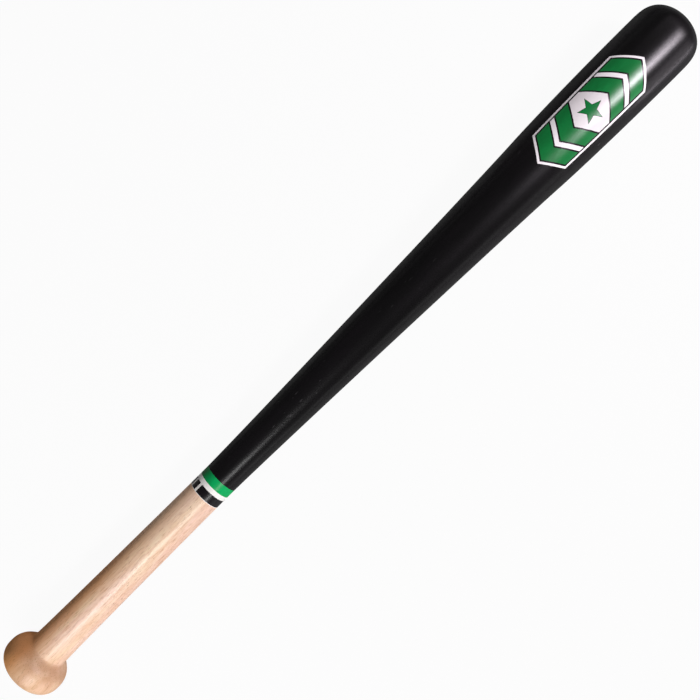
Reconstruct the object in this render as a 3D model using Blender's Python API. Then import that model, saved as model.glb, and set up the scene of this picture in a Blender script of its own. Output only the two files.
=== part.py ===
"""A one-piece wooden baseball bat with a lacquered barrel, a green ring, a label band and a badge.

It lies along +X with the middle of its knob end at the origin and the middle of its badge on top, at +Z.
"""

import math

import bmesh
import bpy
import numpy as np

# The turned outline: places are distances from the knob end, or from the barrel's tip where the name says so
LENGTH = 0.7112
KNOB_DIAMETER = 0.0515
KNOB_CROWN = 0.0126
KNOB_CROWN_FULLNESS = 2.8
KNOB_FRONT = 0.0150
KNOB_FRONT_FULLNESS = 2.36
KNOB_FLAT_DIAMETER = 0.014
KNOB_FILLET = 0.0073
GRIP_DIAMETER = 0.0313
GRIP_FLARE_LENGTH = 0.015
GRIP_FLARE_DROP = 0.0016
WAIST_AT = 0.205
WAIST_DIAMETER = 0.0278
WAIST_EASE_TO_GRIP = 0.020
WAIST_EASE_TO_TAPER = 0.0459
SHOULDER_FROM_TIP = 0.155
SHOULDER_DIAMETER = 0.0506
SHOULDER_SLOPE = 0.059
SHOULDER_EASE_TO_TAPER = 0.0309
SHOULDER_EASE_TO_BARREL = 0.0141
BARREL_DIAMETER = 0.0556
BARREL_EASE = 0.0589
TIP_CROWN = 0.0344
TIP_FULLNESS = 5.9
TIP_FLAT_DIAMETER = 0.010

# The coats: thicker than real ones, so that each is a solid of its own
COAT = 0.0005
FILM = 0.0003
CLEARANCE = 0.0003
CUTTER_BELOW = 0.0015
CUTTER_THICKNESS = 0.0030

# The bands, one after the other from where the bare wood ends
LABEL_START = 0.1963
LABEL_EDGE = 0.0008
LABEL_BAR_WIDTH = 0.0066
LABEL_WHITE = 0.0039
GREEN_RING_WIDTH = 0.0075
LABEL_BAR_FROM = math.radians(-150)
LABEL_BAR_TO = math.radians(28)
LABEL_GAP = 0.0022
LABEL_DASHES = 6

# The badge, as drawn flat before it is wrapped round the barrel
BADGE_FROM_TIP = 0.1062
BADGE_LENGTH = 0.110
BADGE_HEIGHT = 0.040
BADGE_POINT = 0.014
BADGE_BORDER = 0.0018
BADGE_KEYLINE = 0.0012
CENTRE_PANEL_HALF = 0.0170
WHITE_CHEVRON = 0.0042
STAR_ARMS = 5
STAR_RADIUS = 0.0098
STAR_WAIST = 0.42

# How finely round shapes are cut into flats
SIDES = 48
SIDE_ANGLE = math.tau / SIDES
CROWN_RINGS = 7
FRONT_RINGS = 8
GRIP_RINGS = 6
TAPER_RINGS = 8
BARREL_RINGS = 4
LEAST_RING_STEP = 0.002
FINE_RINGS = 200
FILM_STEP = 0.0275
MERGE_DISTANCE = 1e-6
SHARP_ANGLE = math.radians(35)

# Places that follow from the sizes above
LABEL_BAR_START = LABEL_START + LABEL_EDGE
LABEL_BAR_END = LABEL_BAR_START + LABEL_BAR_WIDTH
GREEN_RING_START = LABEL_BAR_END + LABEL_WHITE
LACQUER_START = GREEN_RING_START + GREEN_RING_WIDTH
SHOULDER_AT = LENGTH - SHOULDER_FROM_TIP
CROWN_START = LENGTH - TIP_CROWN
BADGE_AT = LENGTH - BADGE_FROM_TIP


def clear_scene():
    for item in list(bpy.context.scene.objects):
        bpy.data.objects.remove(item)


def material(name, colour, roughness):
    """One plain finish; the colour is linear red, green and blue."""
    made = bpy.data.materials.new(name)
    made.use_nodes = True
    shader = made.node_tree.nodes["Principled BSDF"]
    shader.inputs["Base Color"].default_value = (*colour, 1)
    shader.inputs["Roughness"].default_value = roughness
    shader.inputs["Metallic"].default_value = 0
    made.diffuse_color = (*colour, 1)
    return made


def bare_wood():
    return material("varnished_wood", (0.71, 0.50, 0.31), 0.30)


def black_lacquer():
    return material("black_lacquer", (0.010, 0.009, 0.011), 0.28)


def white_print():
    return material("white_print", (0.83, 0.80, 0.82), 0.30)


def green_print():
    return material("green_print", (0.005, 0.20, 0.06), 0.30)


def black_print():
    return material("black_print", (0.012, 0.010, 0.012), 0.30)


def bezier(start, lead, trail, end, rings):
    """Points on a Bezier curve from start to end, both included; lead and trail are its handles."""
    t = np.linspace(0, 1, rings + 1)[:, None]
    points = [np.array(point) for point in (start, lead, trail, end)]
    weights = [(1 - t) ** 3, 3 * t * (1 - t) ** 2, 3 * t**2 * (1 - t), t**3]
    return sum(weight * point for weight, point in zip(weights, points))


def grip_curve(rings):
    """From the front of the knob to the thinnest place of the handle."""
    start = (KNOB_CROWN + KNOB_FRONT, GRIP_DIAMETER / 2)
    lead = (start[0] + GRIP_FLARE_LENGTH, start[1] - GRIP_FLARE_DROP)
    trail = (WAIST_AT - WAIST_EASE_TO_GRIP, WAIST_DIAMETER / 2)
    return bezier(start, lead, trail, (WAIST_AT, WAIST_DIAMETER / 2), rings)


def taper_curve(rings):
    """From the thinnest place to the shoulder, where the barrel begins."""
    lead = (WAIST_AT + WAIST_EASE_TO_TAPER, WAIST_DIAMETER / 2)
    drop = SHOULDER_EASE_TO_TAPER * SHOULDER_SLOPE
    trail = (SHOULDER_AT - SHOULDER_EASE_TO_TAPER, SHOULDER_DIAMETER / 2 - drop)
    end = (SHOULDER_AT, SHOULDER_DIAMETER / 2)
    return bezier((WAIST_AT, WAIST_DIAMETER / 2), lead, trail, end, rings)


def barrel_curve(rings):
    """From the shoulder to the widest ring, where the crown of the tip begins."""
    rise = SHOULDER_EASE_TO_BARREL * SHOULDER_SLOPE
    lead = (SHOULDER_AT + SHOULDER_EASE_TO_BARREL, SHOULDER_DIAMETER / 2 + rise)
    trail = (CROWN_START - BARREL_EASE, BARREL_DIAMETER / 2)
    end = (CROWN_START, BARREL_DIAMETER / 2)
    return bezier((SHOULDER_AT, SHOULDER_DIAMETER / 2), lead, trail, end, rings)


def shaft_curve(grip, taper, barrel):
    """The three curves as one, from the knob's foot to the widest ring of the barrel."""
    return np.vstack([grip_curve(grip), taper_curve(taper)[1:], barrel_curve(barrel)[1:]])


SHAFT = shaft_curve(FINE_RINGS, FINE_RINGS, FINE_RINGS)
SHAFT_RINGS = shaft_curve(GRIP_RINGS, TAPER_RINGS, BARREL_RINGS)[:, 0]


def shaft_radius(x):
    """The finished bat's radius between the knob and the crown of the tip."""
    return float(np.interp(x, SHAFT[:, 0], SHAFT[:, 1]))


def shaft_between(start, end, inset):
    """Points (x, radius) of the shaft between two places, both included, inset by a coat."""
    rings = [x for x in SHAFT_RINGS if start + LEAST_RING_STEP < x < end - LEAST_RING_STEP]
    return [(x, shaft_radius(x) - inset) for x in (start, *rings, end)]


def knob_front_radius(x):
    """The front of the knob, which meets the handle in a hollow fillet."""
    reach = min((x - KNOB_CROWN) / KNOB_FRONT, 1)
    share = (1 - reach**KNOB_FRONT_FULLNESS) ** (1 / KNOB_FRONT_FULLNESS)
    knob = KNOB_DIAMETER / 2 * share
    handle = shaft_radius(x)
    hollow = max(KNOB_FILLET - abs(knob - handle), 0) ** 2 / (4 * KNOB_FILLET)
    return max(knob, handle) + hollow


def knob_outline():
    """Points (x, radius) from the flat of the knob end to just short of the foot of its front."""
    power = 2 / KNOB_CROWN_FULLNESS
    first = math.asin((KNOB_FLAT_DIAMETER / KNOB_DIAMETER) ** (1 / power))
    turns = np.linspace(first, math.pi / 2, CROWN_RINGS)
    left = [(math.cos(turn) / math.cos(first)) ** power for turn in turns]
    crown = [(KNOB_CROWN * (1 - share), KNOB_DIAMETER / 2 * math.sin(turn) ** power)
             for turn, share in zip(turns, left)]
    steps = [math.sin(math.pi / 2 * ring / FRONT_RINGS) for ring in range(1, FRONT_RINGS)]
    front = [KNOB_CROWN + KNOB_FRONT * step for step in steps]
    return crown + [(x, knob_front_radius(x)) for x in front]


def tip_outline(inset):
    """Points (x, radius) from the widest ring to the flat of the tip, inset by a coat."""
    radius = BARREL_DIAMETER / 2 - inset
    depth = TIP_CROWN - inset
    flat = TIP_FLAT_DIAMETER / 2
    last = math.acos(flat / radius)
    turns = np.linspace(0, last, CROWN_RINGS + 1)[1:]
    sweep = [(math.sin(turn) ** (2 / TIP_FULLNESS), math.cos(turn)) for turn in turns]
    stretch = 1 / sweep[-1][0]
    return [(CROWN_START + depth * along * stretch, radius * out) for along, out in sweep]


def coated_outline(start, inset):
    """The outline from a start on the handle or the taper to the tip's flat, inset by a coat."""
    return shaft_between(start, CROWN_START, inset) + tip_outline(inset)


def new_object(name, mesh, finish):
    """Makes a named object of a finished bmesh, smooth but for its real edges."""
    bmesh.ops.recalc_face_normals(mesh, faces=mesh.faces[:])
    data = bpy.data.meshes.new(name)
    mesh.to_mesh(data)
    mesh.free()
    data.materials.append(finish)
    data.shade_smooth()
    data.set_sharp_from_angle(angle=SHARP_ANGLE)
    made = bpy.data.objects.new(name, data)
    bpy.context.scene.collection.objects.link(made)
    return made


def turned(name, outline, finish, closed=False):
    """Spins (x, radius) points about the X axis. A closed outline is a sleeve, an open one ends in flats."""
    mesh = bmesh.new()
    half = SIDE_ANGLE / 2
    points = [mesh.verts.new((x, r * math.sin(half), r * math.cos(half))) for x, r in outline]
    pairs = list(zip(points, points[1:]))
    if closed:
        pairs.append((points[-1], points[0]))
    edges = [mesh.edges.new(pair) for pair in pairs]
    bmesh.ops.spin(mesh, geom=points + edges, cent=(0, 0, 0), axis=(1, 0, 0),
                   angle=math.tau, steps=SIDES, use_merge=True)
    rims = [edge for edge in mesh.edges if edge.is_boundary]
    if rims:
        bmesh.ops.holes_fill(mesh, edges=rims, sides=SIDES)
    return new_object(name, mesh, finish)


def sleeve(name, start, end, finish):
    """A thin band flush with the bat's outline between two places, less half a clearance at each end."""
    low = start + CLEARANCE / 2
    high = end - CLEARANCE / 2
    outer = [(x, shaft_radius(x)) for x in (low, high)]
    inner = [(x, radius - COAT) for x, radius in reversed(outer)]
    return turned(name, outer + inner, finish, closed=True)


def offset(loop, distance):
    """Moves each side of a loop outwards by a distance, or inwards if it is negative."""
    following = loop[1:] + loop[:1]
    area = sum(a[0] * b[1] - b[0] * a[1] for a, b in zip(loop, following))
    side = math.copysign(1, area) * distance
    moved = []
    for before, corner, after in zip(loop[-1:] + loop[:-1], loop, following):
        into = np.subtract(corner, before) / math.dist(corner, before)
        out = np.subtract(after, corner) / math.dist(after, corner)
        normals = np.array([(into[1], -into[0]), (out[1], -out[0])])
        shift = np.linalg.solve(normals, (side, side))
        moved.append((corner[0] + shift[0], corner[1] + shift[1]))
    return moved


def wrapped_film(name, outline, windows, wrap_radius, underside, thickness, finish):
    """Wraps a flat film round the bat.

    The outline and windows are loops of (x, distance round the bat from its top). The film is cut along the
    bat's own flats, so that its underside keeps its height above them.
    """
    mesh = bmesh.new()
    for loop in (outline, *windows):
        corners = [mesh.verts.new((x, round_way, 0)) for x, round_way in loop]
        for pair in zip(corners, corners[1:] + corners[:1]):
            mesh.edges.new(pair)
    bmesh.ops.triangle_fill(mesh, use_beauty=True, edges=mesh.edges[:])
    cut_along_flats(mesh, outline, wrap_radius)
    grown = bmesh.ops.extrude_face_region(mesh, geom=mesh.faces[:])["geom"]
    for item in grown:
        if isinstance(item, bmesh.types.BMVert):
            item.co.z = thickness
    for point in mesh.verts:
        angle = point.co.y / wrap_radius
        radius = shaft_radius(point.co.x) + underside + point.co.z
        point.co = (point.co.x, radius * math.sin(angle), radius * math.cos(angle))
    return new_object(name, mesh, finish)


def cut_along_flats(mesh, outline, wrap_radius):
    """Cuts a flat film on the lines between the bat's flats, and across the bat at even steps."""
    flat = SIDE_ANGLE * wrap_radius
    xs = [x for x, _ in outline]
    ways = [way for _, way in outline]
    rows = range(math.floor(min(ways) / flat - 0.5), math.ceil(max(ways) / flat + 0.5))
    columns = range(math.ceil(min(xs) / FILM_STEP), math.ceil(max(xs) / FILM_STEP))
    cuts = [((0, (row + 0.5) * flat, 0), (0, 1, 0)) for row in rows]
    cuts += [((column * FILM_STEP, 0, 0), (1, 0, 0)) for column in columns]
    for place, normal in cuts:
        everything = mesh.verts[:] + mesh.edges[:] + mesh.faces[:]
        bmesh.ops.bisect_plane(mesh, geom=everything, plane_co=place, plane_no=normal,
                               dist=MERGE_DISTANCE)


def turned_billet(finish):
    """One piece of wood: the knob, the handle and, turned down for the coats, the rest."""
    step = LABEL_START - CLEARANCE / 2
    bare = knob_outline() + shaft_between(KNOB_CROWN + KNOB_FRONT, step, 0)
    return turned("turned_billet", bare + coated_outline(step, COAT + CLEARANCE), finish)


def barrel_lacquer(finish):
    """The coat over the barrel, open where it meets the green ring and closed over the tip."""
    start = LACQUER_START + CLEARANCE / 2
    outside = coated_outline(start, 0)
    inside = coated_outline(start, COAT)
    return turned("barrel_lacquer", outside[::-1] + inside, finish)


def label_bars():
    """Loops (x, distance round the bat) of the long bar, then of the dashes that share the rest."""
    radius = shaft_radius(LABEL_BAR_START)
    spans = [(LABEL_BAR_FROM * radius, LABEL_BAR_TO * radius)]
    left = math.tau * radius - (spans[0][1] - spans[0][0])
    dash = (left - LABEL_GAP * (LABEL_DASHES + 1)) / LABEL_DASHES
    for number in range(LABEL_DASHES):
        start = spans[0][1] + LABEL_GAP + number * (dash + LABEL_GAP)
        spans.append((start, start + dash))
    return [
        [(LABEL_BAR_START, low), (LABEL_BAR_END, low), (LABEL_BAR_END, high), (LABEL_BAR_START, high)]
        for low, high in spans
    ]


def label(white, black):
    """A white band with dark bars let into it."""
    band = sleeve("label_ring", LABEL_START, GREEN_RING_START, white)
    radius = shaft_radius(LABEL_BAR_START)
    for number, loop in enumerate(label_bars()):
        name = f"label_dash_{number}" if number else "label_bar"
        wrapped_film(name, offset(loop, -CLEARANCE / 2), [], radius, -COAT, COAT, black)
        cutter = wrapped_film(f"{name}_cutter", offset(loop, CLEARANCE / 2), [], radius,
                              -CUTTER_BELOW, CUTTER_THICKNESS, black)
        cutter.hide_render = True
        cutter.display_type = "WIRE"
        cut = band.modifiers.new(name, "BOOLEAN")
        cut.operation = "DIFFERENCE"
        cut.object = cutter


def chevron(inner, outer, half_height):
    """A bent stripe between two tips, which points along the bat away from the middle of the badge."""
    lean = math.copysign(BADGE_POINT / (BADGE_HEIGHT / 2) * half_height, inner)
    near = [(inner - lean, half_height), (inner, 0), (inner - lean, -half_height)]
    far = [(outer - lean, -half_height), (outer, 0), (outer - lean, half_height)]
    return near + far


def pointed_panel(half_length, half_height):
    """A panel with a tip at both ends."""
    side = half_length - BADGE_POINT / (BADGE_HEIGHT / 2) * half_height
    return [(-half_length, 0), (-side, -half_height), (side, -half_height),
            (half_length, 0), (side, half_height), (-side, half_height)]


def star():
    """A plain star with one of its points towards the barrel's tip."""
    radii = (STAR_RADIUS, STAR_RADIUS * STAR_WAIST)
    turns = [corner * math.pi / STAR_ARMS for corner in range(2 * STAR_ARMS)]
    return [
        (radii[corner % 2] * math.cos(turn), radii[corner % 2] * math.sin(turn))
        for corner, turn in enumerate(turns)
    ]


def badge_fields():
    """Names, colours and loops of the coloured fields inside the black keyline."""
    half_height = BADGE_HEIGHT / 2 - BADGE_BORDER - BADGE_KEYLINE
    lean = math.hypot(BADGE_POINT, BADGE_HEIGHT / 2) / (BADGE_HEIGHT / 2)
    end = BADGE_LENGTH / 2 - (BADGE_BORDER + BADGE_KEYLINE) * lean
    line = BADGE_KEYLINE * lean
    green_width = (end - CENTRE_PANEL_HALF - 3 * line - WHITE_CHEVRON) / 2
    chevrons = [("green_chevron_inner", "green", green_width), ("white_chevron", "white", WHITE_CHEVRON),
                ("green_chevron_outer", "green", green_width)]
    fields = [("badge_centre", "white", pointed_panel(CENTRE_PANEL_HALF, half_height))]
    inner = CENTRE_PANEL_HALF + line
    for name, colour, width in chevrons:
        for side, way in (("knob_side", -1), ("tip_side", 1)):
            loop = chevron(way * inner, way * (inner + width), half_height)
            fields.append((f"{name}_{side}", colour, loop))
        inner += width + line
    return fields


def placed(loop):
    """Moves a badge loop from the badge's middle to its place on the barrel."""
    return [(BADGE_AT + x, way) for x, way in loop]


def badge(white, green, black):
    """A printed badge: a white border, a black keyline and the coloured fields let into it."""
    radius = shaft_radius(BADGE_AT)
    colours = {"white": white, "green": green}

    def print_film(name, outline, windows, finish):
        grown = [placed(offset(window, CLEARANCE / 2)) for window in windows]
        shrunk = placed(offset(outline, -CLEARANCE / 2))
        wrapped_film(name, shrunk, grown, radius, CLEARANCE, FILM, finish)

    outside = pointed_panel(BADGE_LENGTH / 2, BADGE_HEIGHT / 2)
    inside = offset(outside, -BADGE_BORDER)
    fields = badge_fields()
    print_film("badge_border", outside, [inside], white)
    print_film("badge_keyline", inside, [loop for _, _, loop in fields], black)
    for name, colour, loop in fields:
        print_film(name, loop, [star()] if name == "badge_centre" else [], colours[colour])
    print_film("badge_star", star(), [], green)


def build():
    clear_scene()
    wood, lacquer = bare_wood(), black_lacquer()
    white, green, black = white_print(), green_print(), black_print()
    turned_billet(wood)
    barrel_lacquer(lacquer)
    sleeve("green_ring", GREEN_RING_START, LACQUER_START, green)
    label(white, black)
    badge(white, green, black)


build()
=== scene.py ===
# %% [markdown]
# # A turned wooden baseball bat
#
# A youth bat is one piece of pale hardwood, turned on a lathe. Its handle stays bare under a clear
# varnish, and its barrel is dipped in black lacquer. Bands are printed where the wood meets the lacquer,
# and a badge where the barrel is thickest. This lesson dresses the packed model of the bat: each of its
# solids is replaced by a finer piece in the same place, with a finish made of shader nodes.
#
# The first cell loads the packed model.

# %% Load the packed model
import math

import bmesh
import bpy
import numpy as np
from mathutils import Matrix


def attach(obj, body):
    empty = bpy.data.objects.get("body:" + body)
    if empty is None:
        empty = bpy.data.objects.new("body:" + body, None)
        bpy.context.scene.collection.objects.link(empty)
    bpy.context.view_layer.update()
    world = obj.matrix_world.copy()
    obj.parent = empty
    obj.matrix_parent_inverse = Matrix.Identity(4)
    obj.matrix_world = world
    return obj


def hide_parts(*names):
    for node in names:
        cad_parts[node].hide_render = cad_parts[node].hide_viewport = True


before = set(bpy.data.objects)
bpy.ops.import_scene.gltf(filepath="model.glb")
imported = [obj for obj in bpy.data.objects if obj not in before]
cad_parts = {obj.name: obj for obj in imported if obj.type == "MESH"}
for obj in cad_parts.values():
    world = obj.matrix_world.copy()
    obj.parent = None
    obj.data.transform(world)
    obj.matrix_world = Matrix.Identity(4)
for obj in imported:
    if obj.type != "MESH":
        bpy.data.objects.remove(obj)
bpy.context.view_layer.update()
scene = bpy.context.scene
scene.view_settings.view_transform = "Standard"
MM = 0.001
print("solids in the packed model:", len(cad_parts))

# %% [markdown]
# ## The camera
#
# The photograph looks straight down on the bat, which lies across it at nearly 45 degrees. A camera this
# close sees all but the bat's middle aslant, so the edges of the printed bands look curved. How much they
# curve gave the focal length. Matching the knob, the bands and the tip in the photograph then gave the
# height and the place along the bat.

# %% Place the camera
CAMERA_HEIGHT = 0.5866
CAMERA_ALONG = 0.3546
BAT_ANGLE = math.radians(44.85)
PICTURE_PIXELS = 700
FOCAL_PIXELS = 760
SENSOR_MM = 36


def make_camera():
    lens = bpy.data.cameras.new("camera")
    lens.sensor_width = SENSOR_MM
    lens.lens = SENSOR_MM * FOCAL_PIXELS / PICTURE_PIXELS
    camera = bpy.data.objects.new("camera", lens)
    above = Matrix.Translation((CAMERA_ALONG, 0, CAMERA_HEIGHT))
    camera.matrix_world = above @ Matrix.Rotation(-BAT_ANGLE, 4, "Z")
    scene.collection.objects.link(camera)
    scene.camera = camera
    return camera


print("focal length in mm:", round(make_camera().data.lens, 2))

# %% [markdown]
# ## The outline
#
# A lathe makes one outline and nothing else, so the whole shape of the bat is one list of places and
# radii. It could be read off the packed mesh, but that is cut into flats. Here the same curves are drawn
# again, much more finely: three Bezier curves for the handle, the taper and the barrel, and rounded ends
# that are fuller than an ellipse. Sizes are in metres, from the knob end.

# %% Sizes of the outline
LENGTH = 0.7112
KNOB_RADIUS = 0.02575
KNOB_CROWN = 0.0126
KNOB_CROWN_FULLNESS = 2.8
KNOB_FRONT = 0.0150
KNOB_FRONT_FULLNESS = 2.36
KNOB_FLAT_RADIUS = 0.007
KNOB_FILLET = 0.0073
KNOB_FOOT = 0.0290
CREASE_START = 0.0206
CREASE = 0.0254
CREASE_EASE = 0.0012
TIP_CROWN = 0.0344
TIP_FULLNESS = 5.9
TIP_FLAT_RADIUS = 0.005
GRIP_CURVE = [(0.0276, 0.01565), (0.0426, 0.01485), (0.185, 0.0139), (0.205, 0.0139)]
TAPER_CURVE = [(0.205, 0.0139), (0.2509, 0.0139), (0.5253, 0.023477), (0.5562, 0.0253)]
BARREL_CURVE = [(0.5562, 0.0253), (0.5703, 0.026132), (0.6179, 0.0278), (0.6768, 0.0278)]
CROWN_START = LENGTH - TIP_CROWN
print("length and widest place in mm:", round(LENGTH / MM, 1), round(2 * BARREL_CURVE[-1][1] / MM, 1))

# %% [markdown]
# The packed model has 48 flats round its axis, and a circle of the same radius would stand a little proud
# of them. Every radius is therefore taken to the middle of a flat, which keeps this finer bat inside the
# packed one.

# %% Draw the handle and the barrel
CAD_SIDES = 48
TO_FLAT = math.cos(math.pi / CAD_SIDES)
CURVE_STEPS = 36


def bezier(corners):
    """Points on the curve of four corners."""
    t = np.linspace(0, 1, CURVE_STEPS + 1)[:, None]
    weights = [(1 - t) ** 3, 3 * t * (1 - t) ** 2, 3 * t**2 * (1 - t), t**3]
    return sum(weight * np.array(corner) for weight, corner in zip(weights, corners))


SHAFT = np.vstack([bezier(GRIP_CURVE), bezier(TAPER_CURVE)[1:], bezier(BARREL_CURVE)[1:]])


def shaft_radius(x):
    """Radius of the finished bat between the knob and the crown of its tip."""
    return float(np.interp(x, SHAFT[:, 0], SHAFT[:, 1])) * TO_FLAT


def shaft_between(start, end, inset):
    """Points (x, radius) between two places, both included, with the radius less an inset."""
    inner = [x for x in SHAFT[:, 0] if start + MM / 10 < x < end - MM / 10]
    return [(x, shaft_radius(x) - inset) for x in (start, *inner, end)]


print("points from the knob to the crown:", len(SHAFT))

# %% [markdown]
# The knob and the handle are two round shapes that would meet in a sharp corner. A hollow fillet fills it,
# and the last trace of a crease is sanded away, as a turner does with a folded strip of paper.

# %% Draw the knob
CROWN_STEPS = 24
EASE_STEPS = 9


def knob_front_radius(x):
    """The front of the knob, which flows into the handle through a hollow fillet."""
    reach = min((x - KNOB_CROWN) / KNOB_FRONT, 1)
    knob = KNOB_RADIUS * TO_FLAT * (1 - reach**KNOB_FRONT_FULLNESS) ** (1 / KNOB_FRONT_FULLNESS)
    handle = shaft_radius(x)
    hollow = max(KNOB_FILLET - abs(knob - handle), 0) ** 2 / (4 * KNOB_FILLET)
    return max(knob, handle) + hollow


def sanded_radius(x):
    """The same front with its crease sanded: the mean of the radii a short way to both sides."""
    reach = CREASE_EASE * float(np.interp(x, [CREASE_START, CREASE], [0, 1]))
    return float(np.mean([knob_front_radius(x + step) for step in np.linspace(-reach, reach, EASE_STEPS)]))


def knob_outline():
    """Points (x, radius) from the middle of the knob end to the foot of the knob's front."""
    power = 2 / KNOB_CROWN_FULLNESS
    first = math.asin((KNOB_FLAT_RADIUS / KNOB_RADIUS) ** (1 / power))
    crown = []
    for turn in np.linspace(first, math.pi / 2, CROWN_STEPS):
        x = KNOB_CROWN * (1 - (math.cos(turn) / math.cos(first)) ** power)
        crown.append((x, KNOB_RADIUS * TO_FLAT * math.sin(turn) ** power))
    places = KNOB_CROWN + (KNOB_FOOT - KNOB_CROWN) * np.sin(np.linspace(0, math.pi / 2, CURVE_STEPS)[1:-1])
    return [(0, 0)] + crown + [(x, sanded_radius(x)) for x in places]


print("points on the knob:", len(knob_outline()))

# %% [markdown]
# The tip is needed three times: for the outside of the lacquer, for its inside, and for the wood under it.
# Each lies a little deeper than the one before, so the tip is drawn for any inset.

# %% Draw the tip
def tip_outline(inset):
    """Points (x, radius) from the widest ring to the middle of the tip, less an inset."""
    radius = SHAFT[-1, 1] * TO_FLAT - inset
    turns = np.linspace(0, math.acos(TIP_FLAT_RADIUS / radius), CROWN_STEPS)[1:]
    stretch = (TIP_CROWN - inset) / math.sin(turns[-1]) ** (2 / TIP_FULLNESS)
    crown = [(CROWN_START + stretch * math.sin(turn) ** (2 / TIP_FULLNESS), radius * math.cos(turn))
             for turn in turns]
    return crown + [(LENGTH - inset, 0)]


print("points on the tip:", len(tip_outline(0)))

# %% [markdown]
# ## Turning
#
# Blender's spin tool is a lathe: it sweeps the outline round the X axis. A hundred and eighty sides are
# fine enough for a smooth edge and a smooth highlight. An outline that begins and ends on the axis gives a
# closed body. A ring has no point on the axis, so its outline is closed instead.
#
# The shading is smooth except across real edges, which an angle of 35 degrees tells apart.

# %% A lathe for outlines
SIDES = 180
SHARP_ANGLE = math.radians(35)
MERGE_DISTANCE = 1e-7


def finished(name, mesh, nodes, finish):
    """Makes a piece that stands for packed nodes, moves with the bat and has a finish."""
    bmesh.ops.recalc_face_normals(mesh, faces=mesh.faces[:])
    data = bpy.data.meshes.new(name)
    mesh.to_mesh(data)
    mesh.free()
    data.materials.append(finish)
    data.shade_smooth()
    data.set_sharp_from_angle(angle=SHARP_ANGLE)
    piece = bpy.data.objects.new(name, data)
    scene.collection.objects.link(piece)
    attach(piece, "root")
    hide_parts(*nodes)
    return piece


def turned(name, outline, nodes, finish, ring=False):
    """Spins (x, radius) points about the bat's axis."""
    mesh = bmesh.new()
    points = [mesh.verts.new((x, 0, radius)) for x, radius in outline]
    pairs = list(zip(points, points[1:]))
    if ring:
        pairs.append((points[-1], points[0]))
    edges = [mesh.edges.new(pair) for pair in pairs]
    bmesh.ops.spin(mesh, geom=points + edges, cent=(0, 0, 0), axis=(1, 0, 0),
                   angle=math.tau, steps=SIDES, use_merge=True)
    bmesh.ops.remove_doubles(mesh, verts=mesh.verts[:], dist=MERGE_DISTANCE)
    return finished(name, mesh, nodes, finish)


print("width of a side on the barrel in mm:", round(math.tau * SHAFT[-1, 1] / SIDES / MM, 2))

# %% [markdown]
# ## Writing shaders as sums
#
# A finish is a graph of nodes, and a graph is hard to read in code. The small class below wraps one
# socket, so that `1 - mask * 0.2` adds the Math nodes that work it out. A mask is a number from 0 to 1 that
# says how far something has gone at a place, such as the wear or the darkening of the grain.

# %% Sums of sockets
class Wire:
    """The output of a node, which can be used in sums."""

    def __init__(self, finish, socket):
        self.finish = finish
        self.socket = socket

    def sum(self, operation, *terms):
        return self.finish.node("ShaderNodeMath", {"operation": operation}, dict(enumerate(terms)))

    def __add__(self, other):
        return self.sum("ADD", self, other)

    def __radd__(self, other):
        return self.sum("ADD", other, self)

    def __sub__(self, other):
        return self.sum("SUBTRACT", self, other)

    def __rsub__(self, other):
        return self.sum("SUBTRACT", other, self)

    def __mul__(self, other):
        return self.sum("MULTIPLY", self, other)

    def __rmul__(self, other):
        return self.sum("MULTIPLY", other, self)

    def __truediv__(self, other):
        return self.sum("DIVIDE", self, other)

    def __rtruediv__(self, other):
        return self.sum("DIVIDE", other, self)

    def fraction(self):
        return self.sum("FRACT", self)

    def size(self):
        return self.sum("ABSOLUTE", self)

    def larger(self, other):
        return self.sum("MAXIMUM", self, other)

    def between(self, low, high):
        """Goes smoothly from 0 where the value is low to 1 where it is high."""
        settings = {"interpolation_type": "SMOOTHSTEP"}
        return self.finish.node("ShaderNodeMapRange", settings,
                                {"Value": self, "From Min": low, "From Max": high})


print("reflected operators:", ", ".join(name for name in vars(Wire) if name.startswith("__r")))

# %% [markdown]
# Every other node comes from one method of the finish, which takes the node's type, its settings and what
# goes into its sockets. The methods after it make the nodes that a bat needs again and again: one number
# of a place, noise, a blend of two colours and a bump.

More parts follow.
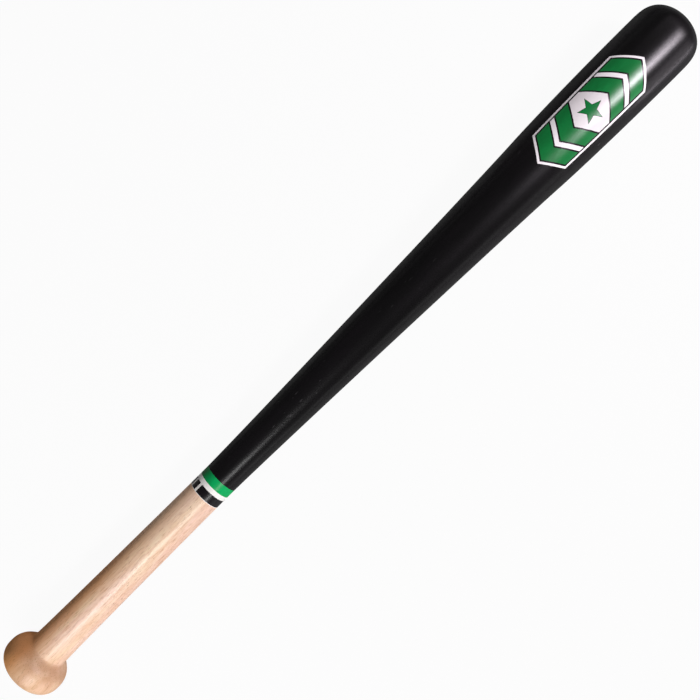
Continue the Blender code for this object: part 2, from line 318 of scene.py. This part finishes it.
# %% A finish and its nodes
class Finish:
    """A material that is built up node by node round its Principled shader."""

    def __init__(self, name):
        self.material = bpy.data.materials.new(name)
        self.material.use_nodes = True
        self.tree = self.material.node_tree
        self.nodes = self.tree.nodes
        self.shader = self.nodes["Principled BSDF"]
        self.place = self.node("ShaderNodeTexCoord", {}, {}, "Object")

    def node(self, kind, settings, sockets, output=0):
        """Adds a node: its settings first, then the values or wires of its sockets."""
        made = self.nodes.new(kind)
        for key, value in settings.items():
            setattr(made, key, value)
        self.connect(made, sockets)
        return Wire(self, made.outputs[output])

    def connect(self, node, sockets):
        for key, value in sockets.items():
            if isinstance(value, Wire):
                self.tree.links.new(value.socket, node.inputs[key])
            else:
                node.inputs[key].default_value = value

    def principled(self, **sockets):
        """Sets the shader's own sockets, written with _ for a space."""
        self.connect(self.shader, {key.replace("_", " "): value for key, value in sockets.items()})

    def axis(self, vector, name):
        """One number of a place or of a direction: its X, Y or Z."""
        return self.node("ShaderNodeSeparateXYZ", {}, {"Vector": vector}, name)

    def facing(self):
        """The direction in which the surface faces, on the bat's own axes."""
        return self.node("ShaderNodeTexCoord", {}, {}, "Normal")

    def scaled_place(self, along, across):
        """The place on the bat, with lengths along and across it measured in different steps."""
        return self.node("ShaderNodeVectorMath", {"operation": "MULTIPLY"},
                         {0: self.place, 1: (along, across, across)})

    def noise(self, along, across, detail=3, roughness=0.5):
        """Noise whose blots are 1/along metres long and 1/across metres wide."""
        return self.node("ShaderNodeTexNoise", {},
                         {"Vector": self.scaled_place(along, across), "Scale": 1, "Detail": detail,
                          "Roughness": roughness})

    def blend(self, mask, first, second):
        """A colour that goes from the first to the second as the mask goes from 0 to 1."""
        return self.node("ShaderNodeMix", {"data_type": "RGBA"}, {0: mask, 6: first, 7: second}, 2)

    def bump(self, height, distance):
        """A Normal for a height of 0 to 1 that stands for a depth in metres."""
        return self.node("ShaderNodeBump", {}, {"Height": height, "Distance": distance})


print("methods of a finish:", ", ".join(name for name in vars(Finish) if name[0] != "_"))

# %% [markdown]
# Colours are picked from pictures as numbers from 0 to 255, in which a middle grey is 128. Shaders reckon in
# light, and there the same grey is only about a fifth of white.

# %% Colours as light
def colour(red, green, blue):
    """A colour as picked from a picture, 0 to 255, in the linear light that shaders use."""
    return (*[((c / 255 + 0.055) / 1.055) ** 2.4 for c in (red, green, blue)], 1)


print("middle grey in linear light:", round(colour(128, 128, 128)[0], 3))

# %% [markdown]
# ## The wood
#
# The bare handle is a pale hardwood with a pinkish cast. On the side towards +Y a browner tone is painted
# shade, and near the label a paler tone on that same side is painted light. Growth rings run along the bat,
# because the billet is split with the grain. Broad pink and yellow streaks, fine fibres, short brown dashes
# and dark pores lie over them. All of them are solid textures: they go through the wood as the real grain
# does, so the turned knob cuts across them and shows them as curves. The knob is a little darker and less
# glossy, most of all where its end grain shows, which soaks up more varnish. The end grain's tone is real;
# the darkening over the rest of the knob is painted shade.
#
# Growth rings are circles about the heart of the tree, which lies outside the billet. The distance from
# that line, shaken by some noise, gives the rings.

# %% Draw the growth rings
HEART_OF_TREE = (0, 0.052, -0.034)
RING_WIDTH = 0.0023
RING_WANDERS = 2.4
RING_FRAYS = 0.35
YEAR_DARKENS = (0.25, 0.9)
YEAR_ENDS = (0.93, 1.0)


def growth_rings(finish):
    """0 to 1 across each year's growth, dark at the end of the year."""
    across = finish.node("ShaderNodeVectorMath", {"operation": "SUBTRACT"},
                         {0: finish.place, 1: HEART_OF_TREE})
    flat = finish.node("ShaderNodeVectorMath", {"operation": "MULTIPLY"}, {0: across, 1: (0, 1, 1)})
    distance = finish.node("ShaderNodeVectorMath", {"operation": "LENGTH"}, {0: flat}, "Value")
    wander = finish.noise(3, 45, detail=2) * RING_WANDERS + finish.noise(14, 260) * RING_FRAYS
    year = (distance / RING_WIDTH + wander).fraction()
    return year.between(*YEAR_DARKENS) * (1 - year.between(*YEAR_ENDS))


print("rings across the handle:", round(2 * shaft_radius(GRIP_CURVE[0][0]) / RING_WIDTH))

# %% [markdown]
# Three masks say where the wood changes: a browner tone on the side towards +Y is painted shade, a paler
# tone on that same side near the label is painted light, and the knob is darker, partly from its real end
# grain and partly from painted shade. A mask goes smoothly from 0 to 1 between two values.
# They are places in metres, or for the end grain how squarely the surface faces along the bat.

# %% Find where the wood changes
# Painted shade: the side towards +Y, with an edge that wanders a little.
PAINTED_SHADE_SIDE = (0.002, 0.0165)
PAINTED_SHADE_WANDERS = 0.004
# Painted light: a paler tone on that side near the label.
PAINTED_LIGHT_ALONG = (0.09, 0.18)
PAINTED_LIGHT_ASIDE = (-0.003, 0.005)
END_GRAIN = (0.1, 0.8)
END_GRAIN_SOAKS = 0.25
# Painted shade over the knob, besides the real tone of its end grain.
KNOB_SHADE_REACH = (0.052, 0.012)
KNOB_SHADE_WEIGHT = 0.65


def painted_shade_side_mask(finish):
    """0 on the side towards -Y and 1 on the side towards +Y, where a browner tone is painted shade."""
    aside = finish.axis(finish.place, "Y")
    return (aside + finish.noise(6, 60) * PAINTED_SHADE_WANDERS).between(*PAINTED_SHADE_SIDE)


def painted_light_mask(finish):
    """1 on that same side near the label, where a paler tone is painted light."""
    along = finish.axis(finish.place, "X").between(*PAINTED_LIGHT_ALONG)
    return along * finish.axis(finish.place, "Y").between(*PAINTED_LIGHT_ASIDE)


def knob_grain_and_shade_mask(finish):
    """0 on the handle and nearly 1 on the knob: its end grain's tone is real, the rest is painted shade."""
    end_grain = finish.axis(finish.facing(), "X").size().between(*END_GRAIN)
    knob_shade = finish.axis(finish.place, "X").between(*KNOB_SHADE_REACH)
    return end_grain * END_GRAIN_SOAKS + knob_shade * KNOB_SHADE_WEIGHT


print("the knob's darker tone fades out in mm:", round(KNOB_SHADE_REACH[0] / MM))

# %% [markdown]
# The tone is built up in layers, as a painter would do it: two ground tones, then one mark of the wood after
# the other, each with its strength and its colour. Most marks are noise. Its first two numbers say how many
# blots there are in a metre, along the bat and across it, and `between` keeps the part of the noise between
# two levels. Three marks are painted light and shade: the paler tone near the label is painted light, the
# brown on the +Y side is painted shade, and so is the knob's tone beyond its end grain. The varnish is a
# coat that is thinner on the side of painted shade and on the knob.

# %% Mix the wood
YELLOW_GROUND = colour(238, 210, 174)
PINK_GROUND = colour(238, 200, 182)
# The knob's tones: the end grain's real tone, deepened by painted shade.
KNOB_GROUND = colour(224, 184, 149)
KNOB_BLOTS = colour(206, 158, 118)
GRAIN_DEPTH = 0.03 * MM
COAT_IOR = 2.5
VARNISH_WEIGHT = 0.26
PAINTED_SHADE_DULLS = 0.18
KNOB_DULLS = 0.13
PAINTED_LIGHT_HIDES_SHADE = 0.5


def bare_wood():
    finish = Finish("varnished_wood")
    # Painted light near the label on the +Y side.
    painted_light = painted_light_mask(finish)
    # Painted shade: browner towards +Y, less so under the painted light near the label.
    painted_shade = painted_shade_side_mask(finish) * (1 - painted_light * PAINTED_LIGHT_HIDES_SHADE)
    # The knob's darker tone: real end grain, and painted shade over the whole knob.
    knob_grain_and_shade = knob_grain_and_shade_mask(finish)
    broad = finish.noise(9, 80, detail=2).between(0.36, 0.64)
    streaks = finish.noise(34, 330, detail=4, roughness=0.65).between(0.38, 0.62)
    fibres = finish.noise(110, 1700, detail=3, roughness=0.65).between(0.38, 0.72)
    dashes = finish.noise(150, 1500, detail=2).between(0.56, 0.68)
    pores = finish.noise(300, 2400, detail=1).between(0.66, 0.74)
    pores = pores * finish.noise(16, 120).between(0.42, 0.60)
    blots = finish.noise(70, 110, detail=3).between(0.36, 0.64)
    tone = finish.blend(broad, YELLOW_GROUND, PINK_GROUND)
    for mark, strength, shade in ((streaks, 0.70, colour(226, 182, 148)),
                                  (growth_rings(finish), 0.17, colour(188, 132, 84)),
                                  (fibres, 0.42, colour(250, 228, 206)),
                                  # painted light near the label
                                  (painted_light, 0.35, colour(255, 232, 206)),
                                  # the knob's tone, partly painted shade
                                  (knob_grain_and_shade, 1, finish.blend(blots, KNOB_GROUND, KNOB_BLOTS)),
                                  # painted shade on the +Y side
                                  (painted_shade, 0.85, colour(220, 152, 92)),
                                  (dashes, 0.46, colour(172, 120, 78)),
                                  (pores, 0.75, colour(118, 76, 42))):
        tone = finish.blend(mark * strength, tone, shade)
    relief = fibres * 0.5 - pores * 0.8 - dashes * 0.3
    finish.principled(Base_Color=tone, Roughness=0.5, Specular_IOR_Level=0,
                      Coat_Weight=VARNISH_WEIGHT - painted_shade * PAINTED_SHADE_DULLS - knob_grain_and_shade * KNOB_DULLS,
                      Coat_IOR=COAT_IOR, Coat_Roughness=0.38, Normal=finish.bump(relief, GRAIN_DEPTH))
    return finish.material


VARNISHED_WOOD = bare_wood()
print("wood nodes:", len(VARNISHED_WOOD.node_tree.nodes))

# %% [markdown]
# ## The turned wood
#
# On the real bat the wood runs on under the lacquer to the tip, a coat's thickness smaller. It does here
# too, so the wood is one whole piece. It is turned a little deeper than the coat, so that the two surfaces
# never touch.

# %% Turn the wood
COAT = 0.0001
UNDER_COAT = 1.2 * COAT
LABEL_START = 0.1963
wood = turned("wood", knob_outline() + shaft_between(KNOB_FOOT, LABEL_START, 0)
              + shaft_between(LABEL_START, CROWN_START, UNDER_COAT) + tip_outline(UNDER_COAT),
              ["turned_billet"], VARNISHED_WOOD)
print("wood faces:", len(wood.data.polygons))

# %% [markdown]
# ## The black lacquer
#
# The barrel is dipped, so the lacquer is smooth and glossy but not a mirror. The gloss is a clear coat. An
# ordinary coat reflects far more at a grazing angle than straight on and would turn the barrel's flanks
# grey. A coat with a high index of refraction and a low weight reflects nearly the same all round.
#
# Handling leaves fine scratches along the bat and dull, rubbed patches. The side towards +Y is made the
# dullest as painted shade, so that its flank reflects less of the pale floor and stays dark. Lacquer that
# dries on wood is also mottled in spots of about a millimetre. All of these lower the coat's weight, and
# the scratches ripple its surface, because black shows them only where it reflects a lamp.

# %% Mix the lacquer
GLOSS = {"Coat_IOR": COAT_IOR, "Coat_Roughness": 0.27}
GLOSS_WEIGHT = 0.125
# The side towards +Y, whose gloss is lowered as painted shade.
PAINTED_SHADE_FLANK = (0.42, 0.72)
SCRATCH_DEPTH = 0.03 * MM


def painted_shade_flank(finish):
    """1 on the side towards +Y, whose gloss is lowered as painted shade, and 0 on the rest."""
    return finish.axis(finish.facing(), "Y").between(*PAINTED_SHADE_FLANK)


def black_lacquer():
    finish = Finish("black_lacquer")
    rubbed = finish.noise(14, 70, detail=4, roughness=0.6).between(0.38, 0.68)
    scratches = finish.noise(70, 900, detail=3, roughness=0.6).between(0.45, 0.70)
    knocks = finish.noise(160, 480, detail=2).between(0.67, 0.75)
    knocks = knocks * finish.noise(11, 40).between(0.50, 0.60)
    mottle = finish.noise(650, 750, detail=2, roughness=0.6).between(0.35, 0.65)
    tone = finish.blend(rubbed, colour(11, 10, 11), colour(18, 16, 18))
    tone = finish.blend(knocks * 0.4, tone, colour(74, 72, 74))
    # The last term lowers the gloss towards +Y, as painted shade.
    shine = GLOSS_WEIGHT * (1.18 - rubbed * 0.20 - scratches * 0.12 - mottle * 0.20
                            - painted_shade_flank(finish) * 0.40)
    finish.principled(Base_Color=tone, Roughness=0.40 + rubbed * 0.08 + scratches * 0.10,
                      Specular_IOR_Level=0, Coat_Weight=shine,
                      Normal=finish.bump(scratches * 0.15 + knocks * 0.8, SCRATCH_DEPTH), **GLOSS)
    return finish.material


straight_on = GLOSS_WEIGHT * ((COAT_IOR - 1) / (COAT_IOR + 1)) ** 2
print("share of the light that the gloss returns straight on:", round(straight_on, 3))

# %% [markdown]
# The coat is a closed shell. Its outside goes from the green ring to the middle of the tip, and its inside
# comes back a tenth of a millimetre deeper.

# %% Dip the barrel
LACQUER_START = 0.2151
coat_outside = shaft_between(LACQUER_START, CROWN_START, 0) + tip_outline(0)
coat_inside = shaft_between(LACQUER_START, CROWN_START, COAT) + tip_outline(COAT)
lacquer = turned("lacquer_coat", coat_outside[::-1] + coat_inside, ["barrel_lacquer"], black_lacquer())
print("lacquer faces:", len(lacquer.data.polygons))

# %% [markdown]
# ## The printed colours
#
# The green ring, the white band and the badge are glossy prints. Each colour varies a little, as ink does
# on wood, and its surface has the slight ripple of a film. One function makes them all. The ring can be
# given a darker green on the side towards +Y, which is painted shade.

# %% Mix the prints
RING_GLOSS = 0.08
GREEN_GLOSS = 0.18
RIPPLE_DEPTH = 0.012 * MM


def gloss_print(name, body, deep, roughness, gloss=GLOSS_WEIGHT, painted_shade_tone=None):
    """A glossy ink that wanders between two close tones, with a third as painted shade on the +Y side."""
    finish = Finish(name)
    clouds = finish.noise(80, 160, detail=4, roughness=0.6).between(0.3, 0.7)
    specks = finish.noise(1500, 2500, detail=1).between(0.66, 0.74)
    scratches = finish.noise(60, 1500, detail=3, roughness=0.6).between(0.50, 0.72)
    tone = finish.blend(clouds * 0.7 + specks * 0.3, body, deep)
    # The third tone is painted shade on the side towards +Y.
    if painted_shade_tone:
        tone = finish.blend(painted_shade_side_mask(finish) * 0.8, tone, painted_shade_tone)
    finish.principled(Base_Color=tone, Roughness=roughness + clouds * 0.03 + scratches * 0.06,
                      Specular_IOR_Level=0, Coat_Weight=gloss * (1.1 - scratches * 0.3),
                      Normal=finish.bump(clouds + scratches * 0.3, RIPPLE_DEPTH), **GLOSS)
    return finish.material


# The ring's dark green on the +Y side is painted shade.
RING_GREEN = gloss_print("ring_green", colour(12, 172, 94), colour(10, 158, 82), 0.30, RING_GLOSS,
                         painted_shade_tone=colour(14, 84, 42))
BADGE_GREEN = gloss_print("badge_green", colour(14, 119, 56), colour(10, 105, 48), 0.13, GREEN_GLOSS)
BADGE_WHITE = gloss_print("badge_white", colour(246, 243, 243), colour(240, 237, 237), 0.13)
BADGE_PALE = gloss_print("badge_pale", colour(230, 226, 226), colour(222, 218, 218), 0.13)
BAND_WHITE = gloss_print("band_white", colour(246, 245, 240), colour(240, 238, 232), 0.30, RING_GLOSS)
PRINT_BLACK = gloss_print("print_black", colour(22, 18, 22), colour(15, 12, 15), 0.16)
inks = (RING_GREEN, BADGE_GREEN, BADGE_WHITE, BADGE_PALE, BAND_WHITE, PRINT_BLACK)
print("inks:", ", ".join(ink.name for ink in inks))

# %% [markdown]
# ## Rings
#
# The green ring and the white band go all the way round, so they are turned too, as thin rings flush with
# the wood.

# %% Turn the rings
LABEL_BAR_START = 0.1967
LABEL_BAR_END = 0.2037
GREEN_START = 0.2076


def band(name, start, end, node, finish):
    outside = shaft_between(start, end, 0)
    inside = [(x, radius - COAT) for x, radius in reversed(outside)]
    return turned(name, outside + inside, [node], finish, ring=True)


green_band = band("green_band", GREEN_START, LACQUER_START, "green_ring", RING_GREEN)
white_band = band("white_band", LABEL_START, GREEN_START, "label_ring", BAND_WHITE)
print("ring faces:", len(green_band.data.polygons) + len(white_band.data.polygons))

# %% [markdown]
# ## Films
#
# The dark bars of the label and the fields of the badge are films that bend round the bat. Each is drawn
# flat, as loops of points (distance along the bat, distance round it), and filled with triangles. Then it
# is cut into narrow strips, given its thickness and rolled round the bat. The strips are what lets a flat
# film bend smoothly.
#
# A transfer is printed in layers: white first, then black, then the colours. Each layer lifts its film by
# two hundredths of a millimetre more.

# %% Roll a film round the bat
FILM = 0.00006
LAYER = 0.00002
STRIP = math.tau / SIDES
FILM_STEP = 0.006


def cut_in_strips(mesh, strip_width):
    """Cuts a flat film on evenly spaced lines along the bat and across it."""
    for axis, step in ((1, strip_width), (0, FILM_STEP)):
        reach = [point.co[axis] for point in mesh.verts]
        for line in range(math.ceil(min(reach) / step), math.ceil(max(reach) / step)):
            place = [0, 0, 0]
            normal = [0, 0, 0]
            place[axis] = line * step
            normal[axis] = 1
            everything = mesh.verts[:] + mesh.edges[:] + mesh.faces[:]
            bmesh.ops.bisect_plane(mesh, geom=everything, plane_co=place, plane_no=normal,
                                   dist=MERGE_DISTANCE)


def film(name, outline, windows, roll_radius, layer, nodes, finish):
    """A film with windows, rolled round the bat with 0 as the middle of its top."""
    mesh = bmesh.new()
    for loop in (outline, *windows):
        corners = [mesh.verts.new((x, way, 0)) for x, way in loop]
        for pair in zip(corners, corners[1:] + corners[:1]):
            mesh.edges.new(pair)
    bmesh.ops.triangle_fill(mesh, use_beauty=True, edges=mesh.edges[:])
    cut_in_strips(mesh, STRIP * roll_radius)
    raised = bmesh.ops.extrude_face_region(mesh, geom=mesh.faces[:])["geom"]
    for item in raised:
        if isinstance(item, bmesh.types.BMVert):
            item.co.z = FILM
    underside = layer * LAYER - FILM / 2
    for point in mesh.verts:
        angle = point.co.y / roll_radius
        radius = shaft_radius(point.co.x) + underside + point.co.z
        point.co = (point.co.x, radius * math.sin(angle), radius * math.cos(angle))
    return finished(name, mesh, nodes, finish)


print("thickness of a film and lift of a layer in mm:", round(FILM / MM, 3), round(LAYER / MM, 3))

# %% [markdown]
# ## The label
#
# One long dark bar covers the front of the white band, and six short ones share the rest of the way round,
# with white showing between them.

# %% Print the label
LABEL_BAR_FROM = math.radians(-150)
LABEL_BAR_TO = math.radians(28)
LABEL_GAP = 0.0022
LABEL_DASHES = 6


def label_spans(radius):
    """From where to where each dark bar goes round the bat: the long one first."""
    spans = [(LABEL_BAR_FROM * radius, LABEL_BAR_TO * radius)]
    left = math.tau * radius - (spans[0][1] - spans[0][0])
    dash = (left - LABEL_GAP * (LABEL_DASHES + 1)) / LABEL_DASHES
    for number in range(LABEL_DASHES):
        start = spans[0][1] + LABEL_GAP + number * (dash + LABEL_GAP)
        spans.append((start, start + dash))
    return spans


label_radius = shaft_radius(LABEL_BAR_START)
for number, (low, high) in enumerate(label_spans(label_radius)):
    loop = [(LABEL_BAR_START, low), (LABEL_BAR_END, low), (LABEL_BAR_END, high), (LABEL_BAR_START, high)]
    node = f"label_dash_{number}" if number else "label_bar"
    film(f"printed_{node}", loop, [], label_radius, 1, [node], PRINT_BLACK)
print("dark bars on the label:", LABEL_DASHES + 1)

# %% [markdown]
# ## The badge
#
# The badge is a long panel with a point at each end: a white border, a black keyline, and between them a
# white middle with a green star and chevrons in green and white. All of it follows from a few sizes, so
# the stripes stay parallel to the points.

# %% Sizes of the badge
BADGE_AT = LENGTH - 0.1062
BADGE_HALF_LENGTH = 0.055
BADGE_HALF_HEIGHT = 0.020
BADGE_POINT = 0.014
BADGE_BORDER = 0.0018
BADGE_KEYLINE = 0.0012
MIDDLE_HALF_LENGTH = 0.0170
WHITE_CHEVRON = 0.0042
STAR_ARMS = 5
STAR_RADIUS = 0.0098
STAR_WAIST = 0.42
STAR_LINE = 0.0007
LEAN = BADGE_POINT / BADGE_HALF_HEIGHT
SLANT = math.hypot(BADGE_POINT, BADGE_HALF_HEIGHT) / BADGE_HALF_HEIGHT


def panel(half_length, half_height):
    """A panel with a point at both ends."""
    side = half_length - LEAN * half_height
    return [(-half_length, 0), (-side, -half_height), (side, -half_height),
            (half_length, 0), (side, half_height), (-side, half_height)]


def chevron(inner, outer, half_height):
    """A bent stripe that points away from the middle of the badge."""
    lean = math.copysign(LEAN * half_height, inner)
    return [(inner - lean, half_height), (inner, 0), (inner - lean, -half_height),
            (outer - lean, -half_height), (outer, 0), (outer - lean, half_height)]


def star(radius):
    """A star with one point towards the tip."""
    radii = (radius, radius * STAR_WAIST)
    turns = [corner * math.pi / STAR_ARMS for corner in range(2 * STAR_ARMS)]
    return [(radii[corner % 2] * math.cos(turn), radii[corner % 2] * math.sin(turn))
            for corner, turn in enumerate(turns)]


print("badge in mm:", round(2 * BADGE_HALF_LENGTH / MM, 1), "by", round(2 * BADGE_HALF_HEIGHT / MM, 1))

# %% [markdown]
# The white border lies lowest, the black keyline next and the coloured fields on top. The stripes are laid
# outwards from the middle, each with its twin on the other side and a keyline's width before the next.

# %% Print the badge
def badge_film(node, outline, windows, layer, finish):
    loops = [[(BADGE_AT + x, way) for x, way in loop] for loop in (outline, *windows)]
    return film(f"printed_{node}", loops[0], loops[1:], shaft_radius(BADGE_AT), layer, [node], finish)


half_height = BADGE_HALF_HEIGHT - BADGE_BORDER - BADGE_KEYLINE
line = BADGE_KEYLINE * SLANT
field_end = BADGE_HALF_LENGTH - (BADGE_BORDER + BADGE_KEYLINE) * SLANT
green_width = (field_end - MIDDLE_HALF_LENGTH - 3 * line - WHITE_CHEVRON) / 2

badge_film("badge_border", panel(BADGE_HALF_LENGTH, BADGE_HALF_HEIGHT), [], 1, BADGE_WHITE)
keyline_panel = panel(BADGE_HALF_LENGTH - BADGE_BORDER * SLANT, BADGE_HALF_HEIGHT - BADGE_BORDER)
badge_film("badge_keyline", keyline_panel, [], 2, PRINT_BLACK)
badge_film("badge_centre", panel(MIDDLE_HALF_LENGTH, half_height), [star(STAR_RADIUS + STAR_LINE)], 3,
           BADGE_PALE)
badge_film("badge_star", star(STAR_RADIUS), [], 3, BADGE_GREEN)

inner = MIDDLE_HALF_LENGTH + line
for name, width, finish, slot in (("green_chevron_inner", green_width, BADGE_GREEN, "green_print"),
                                  ("white_chevron", WHITE_CHEVRON, BADGE_WHITE, "white_print"),
                                  ("green_chevron_outer", green_width, BADGE_GREEN, "green_print")):
    for side, way in (("knob_side", -1), ("tip_side", 1)):
        badge_film(f"{name}_{side}", chevron(way * inner, way * (inner + width), half_height), [], 3, finish)
    inner += width + line
print("badge stripes end in mm from the middle:", round((inner - line) / MM, 2))

# %% [markdown]
# ## The floor
#
# The bat lies on a pale floor. Its barrel is thicker than its knob, so on a level floor it would tilt. The
# packed bat is level, so the floor tilts instead, by a fifth of a degree, and touches both.
#
# The camera sees the floor nearly white, and so do the reflections in the lacquer. That white is a glow
# which only those rays meet. What lights the bat from below is the floor's own grey. In reflections the
# glow fades with the distance from the bat, which shades the lacquer's flanks softly from black to grey.

# %% Lay the floor
FLOOR_HALF = 40
FLOOR_GLOW = 0.95
GLOW_FADES = (0.30, 0.03)
FLOOR_GREY = (0.50, 0.50, 0.50, 1)
WHITE = (1, 1, 1, 1)
floor_slope = math.atan((SHAFT[-1, 1] - KNOB_RADIUS) * TO_FLAT / (CROWN_START - KNOB_CROWN))


def seeing_rays(finish, mirrored_share):
    """1 for a ray from the camera, a share for one out of a reflection, and 0 for light on its way."""
    seen, mirrored, through = [finish.node("ShaderNodeLightPath", {}, {}, ray)
                               for ray in ("Is Camera Ray", "Is Glossy Ray", "Is Transmission Ray")]
    return seen.larger(mirrored.larger(through) * mirrored_share)


def mix_in(finish, glow, share, output):
    """Mixes a share of a glow into the shader and sends the result to the output."""
    mixed = finish.node("ShaderNodeMixShader", {},
                        {0: share, 1: Wire(finish, finish.shader.outputs[0]), 2: glow})
    finish.connect(finish.nodes[output], {"Surface": mixed})


def pale_floor():
    finish = Finish("pale_floor")
    finish.principled(Base_Color=FLOOR_GREY, Roughness=0.9, Specular_IOR_Level=0.1)
    glow = finish.node("ShaderNodeEmission", {}, {"Color": WHITE, "Strength": 1})
    aside = finish.axis(finish.place, "Y").size()
    share = seeing_rays(finish, aside.between(*GLOW_FADES)) * FLOOR_GLOW
    mix_in(finish, glow, share, "Material Output")
    return finish.material


def lay_floor():
    corners = [(-FLOOR_HALF, -FLOOR_HALF, 0), (FLOOR_HALF, -FLOOR_HALF, 0),
               (FLOOR_HALF, FLOOR_HALF, 0), (-FLOOR_HALF, FLOOR_HALF, 0)]
    data = bpy.data.meshes.new("floor")
    data.from_pydata(corners, [], [(0, 1, 2, 3)])
    data.materials.append(pale_floor())
    floor = bpy.data.objects.new("floor", data)
    floor.matrix_world = (Matrix.Translation((CROWN_START, 0, -SHAFT[-1, 1] * TO_FLAT))
                          @ Matrix.Rotation(floor_slope, 4, "Y"))
    scene.collection.objects.link(floor)


lay_floor()
print("floor slope in degrees:", round(math.degrees(floor_slope), 3))

# %% [markdown]
# ## The light
#
# One soft box hangs beside the barrel's tip and a long one beside the handle. The stripe of light that
# runs down the lacquer is their reflection, and between the two it fades out. A real box is brightest in
# its middle, so wider and dimmer boxes surround each of them. Three dim panels near the floor grey the
# lacquer's flank on that side, and a small card on the floor makes the second stripe beside the tip. On
# the far side there is one dim panel beyond the tip, so the lacquer stays black there. The boxes at the
# tip have a faint lilac cast, and so have the stripes that they leave on the lacquer.
#
# Each box is given by the brightness that it shows, because that is what a reflection repeats. Its power
# follows from its area. A row of the table has the place along the bat, the distance from its axis, the
# angle from upright in degrees, the two sides of the box, its brightness and its cast.

# %% Hang the lamps
PLAIN = (1, 1, 1)
LILAC = (1, 0.915, 1)


def soft_box(name, middle, size, brightness, cast):
    """A flat lamp that faces the bat's axis, its first side parallel to the bat."""
    lamp = bpy.data.lights.new(name, "AREA")
    lamp.color = cast
    lamp.shape = "RECTANGLE"
    lamp.size, lamp.size_y = size
    lamp.energy = brightness * math.pi * size[0] * size[1]
    box = bpy.data.objects.new(name, lamp)
    tilt = math.atan2(middle[1], middle[2])
    box.matrix_world = Matrix.Translation(middle) @ Matrix.Rotation(-tilt, 4, "X")
    scene.collection.objects.link(box)
    return box


def beside(along, distance, from_upright):
    """A point at a distance from the bat's axis, towards the viewer's lower right."""
    angle = math.radians(from_upright)
    return (along, -distance * math.sin(angle), distance * math.cos(angle))


for name, along, distance, from_upright, size, brightness, cast in (
        ("tip_box", 1.04, 0.80, 30, (0.11, 0.14), 82, LILAC),
        ("tip_box_mid", 1.12, 0.81, 28, (0.28, 0.38), 17, LILAC),
        ("tip_box_rim", 1.04, 0.82, 24, (0.52, 0.40), 1.0, LILAC),
        ("tip_far_panel", 1.46, 0.85, -15, (0.50, 0.80), 0.6, LILAC),
        ("handle_box", -0.43, 0.80, 31, (0.92, 0.15), 16.5, PLAIN),
        ("handle_box_rim", -0.43, 0.81, 28, (0.95, 0.50), 0.85, PLAIN),
        ("side_panel", 0.35, 1.10, 87, (2.60, 0.30), 0.6, PLAIN),
        ("handle_panel", -0.45, 1.12, 76, (1.00, 0.50), 0.5, PLAIN),
        ("tip_panel", 1.30, 1.12, 76, (0.60, 0.50), 2.0, LILAC),
        ("tip_card", 0.80, 0.22, 93.5, (0.13, 0.020), 13.0, LILAC)):
    soft_box(name, beside(along, distance, from_upright), size, brightness, cast)

# %% [markdown]
# ## The room
#
# The room is dim, so that the lacquer stays black. The camera sees it as bright as the floor, which closes
# the picture behind the bat when it is seen from the side. The lacquer reflects only the lowest part of
# that white, like a low pale wall, and less brightly, as it does the far floor.

# %% Build the room
ROOM_LIGHT = 0.10
WALL_FADES = (0.32, 0.19)
WALL_MIRRORED = 0.30


class Room(Finish):
    """The world's shader, built with the same methods as a finish."""

    def __init__(self, name):
        self.world = bpy.data.worlds.new(name)
        self.world.use_nodes = True
        self.tree = self.world.node_tree
        self.nodes = self.tree.nodes
        self.shader = self.nodes["Background"]
        self.place = self.node("ShaderNodeTexCoord", {}, {}, "Generated")


room = Room("surroundings")
room.connect(room.shader, {"Color": WHITE, "Strength": ROOM_LIGHT})
pale = room.node("ShaderNodeBackground", {}, {"Color": WHITE, "Strength": FLOOR_GLOW})
wall = room.axis(room.place, "Z").between(*WALL_FADES) * WALL_MIRRORED
mix_in(room, pale, seeing_rays(room, wall), "World Output")
scene.world = room.world
print("nodes in the room:", len(room.nodes))
